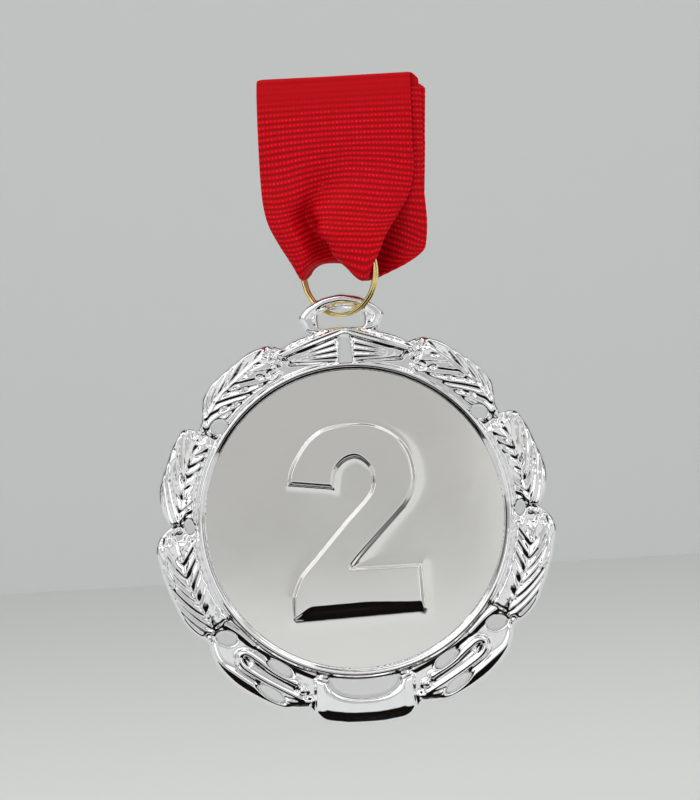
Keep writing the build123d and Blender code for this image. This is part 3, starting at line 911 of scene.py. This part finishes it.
def ribbon_mesh(name, parts):
    """One mesh of several strips."""
    points, faces, weave = [], [], []
    for p, strip_faces, w in parts:
        base = sum(len(q) for q in points)
        points.append(p)
        weave.append(w)
        faces += [[i + base for i in face] for face in strip_faces]
    points, weave = np.concatenate(points), np.concatenate(weave)
    mesh = bpy.data.meshes.new(name)
    xyz = (points + (0, 0, MEDAL_Z)) * MM
    mesh.from_pydata(xyz.tolist(), [], faces)
    uv = mesh.uv_layers.new(name="weave")
    corners = np.zeros(len(mesh.loops), int)
    mesh.loops.foreach_get("vertex_index", corners)
    uv.data.foreach_set("uv", weave[corners].ravel())
    obj = add_object(name, mesh)
    finish_normals(obj, 70)
    return obj


PANELS = 16  # of the packet
STRAND_COLS = 58
strands, strand_s = fine_strip([*front_rows, *turn_rows, *back_rows], STRAND_COLS, RIB_PITCH / 6)
strand_ribs = 0.15 + 0.85 * smoothstep(strand_s, 2.5, 8.0)
packet, packet_s = packet_strip(PANELS)
# The end of the ribbon, lapped over the last panel where the loop is sewn
SEAM_V = seam_low[2] - MEDAL_Z
LAP_Y = FRONT_Y + LAYER * (2 * PANELS + 2) + 0.02
LAP_AT = 20 * RIB_PITCH  # the lap's place along the weave
lap_s = np.linspace(0, seam_high[2] - seam_low[2], 31)
lap_v = (SEAM_V + lap_s)[:, None]
lap = np.stack(on_packet((SIDE_F - 0.5) * RIBBON_W, np.full(lap_v.shape, LAP_Y), lap_v), 2)
ribbon = ribbon_mesh("neck_ribbon", [
    strip_parts(strands, strand_s, np.linspace(0, 1, STRAND_COLS + 1), strand_ribs),
    strip_parts(packet, packet_s, SIDE_F, np.ones(len(packet_s))),
    strip_parts(lap, lap_s + LAP_AT, SIDE_F, np.ones(len(lap_s))),
])
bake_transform(ribbon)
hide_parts("ribbon_loop", "ribbon_fold")


def stitches(name):
    """Rows of thread across the lapped ends, each stitch a rounded length of thread."""
    bm = bmesh.new()
    thread, length, gap = 0.16, 1.5, 0.55
    margin = 1
    reach = RIBBON_W - 2 * margin
    count = int(reach / (length + gap))
    y = LAP_Y + CORE_HALF + RIB_HEIGHT + 0.02
    for up in (1.3, 2.4, 4.6, 5.7):
        for k in range(count):
            w = -RIBBON_W / 2 + margin + (k + 0.5) * reach / count
            centre = Vector(on_packet(w, y, SEAM_V + up)) + Vector((0, 0, MEDAL_Z))
            place = Matrix.Translation(centre * MM) @ Matrix.Rotation(LEAN, 4, "Y") @ Matrix.Diagonal(
                (length / 2 * MM, thread * MM, thread * MM, 1))
            bmesh.ops.create_uvsphere(bm, u_segments=10, v_segments=8, radius=1.0, matrix=place)
    mesh = bpy.data.meshes.new(name)
    bm.to_mesh(mesh)
    bm.free()
    mesh.shade_smooth()
    return add_object(name, mesh)


seam = stitches("seam_stitches")
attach(seam, "ribbon")
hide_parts("ribbon_seam")

# ---------- materials


def set_input(tree, slot, value):
    """Set an input, or link it where the value is a socket."""
    if isinstance(value, bpy.types.NodeSocket):
        tree.links.new(value, slot)
    else:
        slot.default_value = value


def set_inputs(tree, node, **values):
    """Set or link a node's inputs, named with _ for a space."""
    for name, value in values.items():
        set_input(tree, node.inputs[name.replace("_", " ")], value)


def new_node(tree, kind, **values):
    """A new node with these inputs."""
    node = tree.nodes.new(kind)
    set_inputs(tree, node, **values)
    return node


def material(name):
    """A new node material, its node tree and its shader."""
    mat = bpy.data.materials.new(name)
    mat.use_nodes = True
    return mat, mat.node_tree, mat.node_tree.nodes["Principled BSDF"]


def math_node(tree, operation, *values):
    """A Math node whose inputs are sockets or numbers; its output socket."""
    node = tree.nodes.new("ShaderNodeMath")
    node.operation = operation
    for slot, value in zip(node.inputs, values):
        set_input(tree, slot, value)
    return node.outputs[0]


def object_place(tree):
    """The place on the object; its output socket."""
    return new_node(tree, "ShaderNodeTexCoord").outputs["Object"]


def noise_node(tree, scale, detail=2.0):
    """A noise over the object; its output socket."""
    node = new_node(tree, "ShaderNodeTexNoise", Vector=object_place(tree), Scale=scale, Detail=detail)
    return node.outputs["Fac"]


def ramp_node(tree, source, stops):
    """A colour ramp from (position, colour) stops; its colour socket."""
    ramp = new_node(tree, "ShaderNodeValToRGB", Fac=source)
    elements = ramp.color_ramp.elements
    for element, (position, color) in zip(elements, (stops[0], stops[-1])):
        element.position, element.color = position, (*color, 1)
    for position, color in stops[1:-1]:
        elements.new(position).color = (*color, 1)
    return ramp.outputs["Color"]


def bump_node(tree, source, distance, strength):
    """Bump from a height socket, in metres of relief; its normal socket."""
    node = new_node(tree, "ShaderNodeBump", Height=source, Distance=distance, Strength=strength)
    return node.outputs["Normal"]


def metal(name, low_color, high_color, rough_low, rough_high, scale, bump=None):
    """Plated metal: its tint and its polish vary softly over the surface. bump is (strength, scale)."""
    mat, tree, shader = material(name)
    noise = noise_node(tree, scale, 4.0)
    tint = ramp_node(tree, noise, [(0.3, low_color), (0.7, high_color)])
    polish = new_node(tree, "ShaderNodeMapRange", Value=noise, To_Min=rough_low, To_Max=rough_high)
    set_inputs(tree, shader, Metallic=1.0, Base_Color=tint, Roughness=polish.outputs["Result"])
    if bump:
        set_inputs(tree, shader, Normal=bump_node(tree, noise_node(tree, bump[1]), 0.0005, bump[0]))
    return mat


def rep_weave(name):
    """Ribs across the ribbon, each a row of yarn floats with painted highlights, and painted shade between
    the ribs.
    """
    mat, tree, shader = material(name)
    uv = new_node(tree, "ShaderNodeUVMap")
    uv.uv_map = "weave"
    split = new_node(tree, "ShaderNodeSeparateXYZ", Vector=uv.outputs["UV"])
    across, along = split.outputs["X"], split.outputs["Y"]

    def times(first, second):
        """The product of two sockets, or of a socket and a number."""
        return math_node(tree, "MULTIPLY", first, second)

    def wave(source, pitch, power):
        """A row of bumps with this pitch in mm, from 0 to 1."""
        sine = math_node(tree, "SINE", times(source, WEAVE_UNIT * math.pi / pitch))
        return math_node(tree, "POWER", math_node(tree, "ABSOLUTE", sine), power)

    floats = wave(across, FLOAT_PITCH, 1.3)
    dots = times(wave(along, RIB_PITCH, 3.5), floats)
    uneven = times(noise_node(tree, 1100.0), 0.5)
    body = times(wave(along, RIB_PITCH, 0.9), 0.5)
    # The floats' painted highlights, a little uneven from float to float
    lit = times(times(dots, uneven), 1.7)
    # The ribs lie closer at the ribbon's top fold, where the strip is pressed, so they show less there
    opening = new_node(tree, "ShaderNodeMapRange", Value=along, From_Min=0.2, From_Max=0.75, To_Min=0.25)
    opening.interpolation_type = "SMOOTHSTEP"
    open_weave = opening.outputs["Result"]
    height = times(math_node(tree, "ADD", body, lit), open_weave)
    plain = math_node(tree, "MULTIPLY_ADD", open_weave, -0.42, 0.42)
    # The colour follows the weave's height: painted shade low between the ribs, painted highlights on the
    # yarn floats. The same height drives the bump.
    tone = ramp_node(tree, math_node(tree, "ADD", height, plain), [
        (0.02, (0.26, 0.0, 0.002)), (0.25, (0.4, 0.0, 0.003)), (0.55, (0.5, 0.0, 0.005)),
        (0.8, (0.72, 0.0, 0.012)), (1.0, (0.95, 0.008, 0.03))])
    yarn = math_node(tree, "ADD", height, times(floats, 0.3))
    set_inputs(tree, shader, Base_Color=tone, Normal=bump_node(tree, yarn, 0.0001, 0.35), Roughness=0.62,
               Specular_IOR_Level=0.1, Sheen_Weight=0.05, Sheen_Roughness=0.4,
               Sheen_Tint=(1.0, 0.12, 0.15, 1))
    return mat


def thread_fibre(name):
    """Sewing thread: fine twisted plies."""
    mat, tree, shader = material(name)
    plies = new_node(tree, "ShaderNodeTexWave", Vector=object_place(tree), Scale=900.0, Distortion=1.0)
    plies.bands_direction = "DIAGONAL"
    ply = plies.outputs["Fac"]
    # Painted shade: the colour is darker in the grooves between the plies and lighter on their crowns,
    # following the bump.
    tone = ramp_node(tree, ply, [(0.0, (0.2, 0.0, 0.004)), (1.0, (0.6, 0.005, 0.02))])
    set_inputs(tree, shader, Base_Color=tone, Normal=bump_node(tree, ply, 0.00005, 0.6), Roughness=0.5)
    return mat


def tape(name):
    """Milky double-sided tape with small bubbles."""
    mat, tree, shader = material(name)
    noise = noise_node(tree, 700.0, 3.0)
    tone = ramp_node(tree, noise, [(0.35, (0.62, 0.6, 0.54)), (0.65, (0.8, 0.79, 0.74))])
    set_inputs(tree, shader, Base_Color=tone, Normal=bump_node(tree, noise, 0.00008, 0.4), Roughness=0.45)
    return mat


for obj, mat in (
    (casting, metal("medal_chrome", (0.9, 0.9, 0.91), (0.95, 0.95, 0.96), 0.04, 0.09, 500, (0.02, 700))),
    (disc, metal("disc_satin", (0.84, 0.83, 0.81), (0.88, 0.87, 0.85), 0.07, 0.12, 60, (0.03, 120))),
    (ribbon, rep_weave("ribbon_rep")),
    (seam, thread_fibre("seam_thread")),
    (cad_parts["split_ring"],
     metal("ring_gold", (0.86, 0.66, 0.26), (0.92, 0.74, 0.34), 0.1, 0.18, 400)),
    (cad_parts["disc_adhesive"], tape("adhesive_tape")),
):
    obj.data.materials.clear()
    obj.data.materials.append(mat)

# ---------- camera, stage and lights
camera_data = bpy.data.cameras.new("camera")
camera = add_object("camera", camera_data)
bpy.context.scene.camera = camera
VIEW_HEIGHT, VIEW_AWAY = 130.5 * MM, 0.62  # the height seen at the medal, and the distance to it
VIEW_ROLL = -3.4  # degrees
AIM_X, AIM_UP = 0.34, 19.42  # mm from the medal's centre
camera_data.lens = camera_data.sensor_width * VIEW_AWAY / VIEW_HEIGHT
camera_data.clip_start = 0.01
aim = Vector((AIM_X * MM, 0, (MEDAL_Z + AIM_UP) * MM))
camera.matrix_world = (Matrix.Translation(aim + Vector((0, -VIEW_AWAY, 0)))
                       @ Matrix.Rotation(math.radians(90), 4, "X")
                       @ Matrix.Rotation(math.radians(VIEW_ROLL), 4, "Z"))


def panel(name, centre, size, turn, color, strength=0.0, seen=False):
    """A flat panel of the studio, turned by these degrees. What isn't seen is only for reflections."""
    mesh = bpy.data.meshes.new(name)
    x, y = size[0] / 2, size[1] / 2
    mesh.from_pydata([(-x, -y, 0), (x, -y, 0), (x, y, 0), (-x, y, 0)], [], [(0, 1, 2, 3)])
    obj = add_object(name, mesh)
    obj.location = centre
    obj.rotation_euler = [math.radians(t) for t in turn]
    mat, tree, shader = material(name)
    set_inputs(tree, shader, Base_Color=(*color, 1), Roughness=0.9)
    if strength:
        set_inputs(tree, shader, Emission_Color=(*color, 1), Emission_Strength=strength)
    if not seen:
        set_inputs(tree, shader, Specular_IOR_Level=0.0)
        obj.visible_camera = obj.visible_diffuse = obj.visible_shadow = False
    mesh.materials.append(mat)


def degrees(rotation):
    """A rotation's three angles in degrees."""
    return [math.degrees(t) for t in rotation.to_euler()]


floor_z = cad_box[0][2] - 0.03
card_z = floor_z + 0.005
panel("floor", (0, 0.2, floor_z), (4.0, 4.0), (0, 0, 0), (0.72, 0.73, 0.72), seen=True)
panel("backdrop", (0, 1.2, 0.9), (4.0, 3.2), (90, 0, 0), (0.72, 0.74, 0.73), seen=True)
centre = Vector((0, 0, MEDAL_Z * MM))
panel("dark_card", (0, -0.074, card_z), (0.2, 0.124), (0, 0, 0), (0.006, 0.005, 0.004))
panel("grey_card", (0, -0.17, card_z), (0.3, 0.08), (0, 0, 0), (0.15, 0.15, 0.15))
panel("pale_card", centre + Vector((0.14, -0.52, -0.03)), (0.2, 0.2), (90, 0, 14), (0.44, 0.44, 0.43), 1.0)

# Dark slats round the medal, facing it, draw the fine dark lines in the chrome
SLAT_AWAY = 0.55
for azimuth, elevation, size in ((-30, 4, (0.05, 0.5)), (33, 4, (0.05, 0.5)), (-66, 0, (0.09, 0.6)),
                                 (70, 0, (0.09, 0.6)), (8, 36, (0.5, 0.06)), (-20, 74, (0.5, 0.1)),
                                 (-116, 0, (0.26, 0.6)), (116, 0, (0.26, 0.6)), (180, 62, (0.6, 0.24))):
    a, e = math.radians(azimuth), math.radians(elevation)
    towards = Vector((math.sin(a) * math.cos(e), -math.cos(a) * math.cos(e), math.sin(e)))
    panel(f"slat_{azimuth}_{elevation}".replace("-", "m"), centre + SLAT_AWAY * towards, size,
          degrees((-towards).to_track_quat("Z", "Y")), (0.03, 0.028, 0.026))

# Soft rectangular lights aimed at the medal. Each has a card behind it, which takes the place of the
# bright room there, so that the two don't add up in the chrome.
CARD_BEHIND = 0.02
for name, place, size, power in (("key", (-0.6, -0.7, 0.5), (1.15, 1.15), 4.0),
                                 ("glint", (-0.3, -0.5, 0.62), (0.4, 0.1), 0.25),
                                 ("fill", (0.8, -0.6, 0.1), (0.7, 0.9), 1.8),
                                 ("top", (0.1, -0.15, 0.8), (1.2, 1.0), 3.3)):
    data = bpy.data.lights.new(name, "AREA")
    data.shape = "RECTANGLE"
    data.size, data.size_y = size
    data.energy = power
    lamp = add_object(name, data)
    lamp.location = place
    to_medal = (centre - Vector(place)).normalized()
    aimed = to_medal.to_track_quat("-Z", "Y")
    lamp.rotation_euler = aimed.to_euler()
    panel(name + "_back", Vector(place) - CARD_BEHIND * to_medal, size, degrees(aimed), (0.2, 0.2, 0.2), 1.0)

# The room: bright above, mid grey around, dark below
world = bpy.data.worlds.new("world")
world.use_nodes = True
sky = world.node_tree
direction = new_node(sky, "ShaderNodeTexCoord").outputs["Generated"]
split = new_node(sky, "ShaderNodeSeparateXYZ", Vector=direction)
height = new_node(sky, "ShaderNodeMapRange", Value=split.outputs["Z"], From_Min=-1.0)
around_grey = [(at, (grey, grey, grey * 0.985)) for at, grey in ((0.36, 0.5), (0.5, 0.6), (0.62, 0.56))]
room = ramp_node(sky, height.outputs["Result"],
                 [(0.22, (0.012, 0.011, 0.01)), *around_grey, (0.85, (0.68, 0.68, 0.68))])
set_inputs(sky, sky.nodes["Background"], Color=room, Strength=0.9)
bpy.context.scene.world = world
bpy.context.scene.view_settings.view_transform = "Standard"
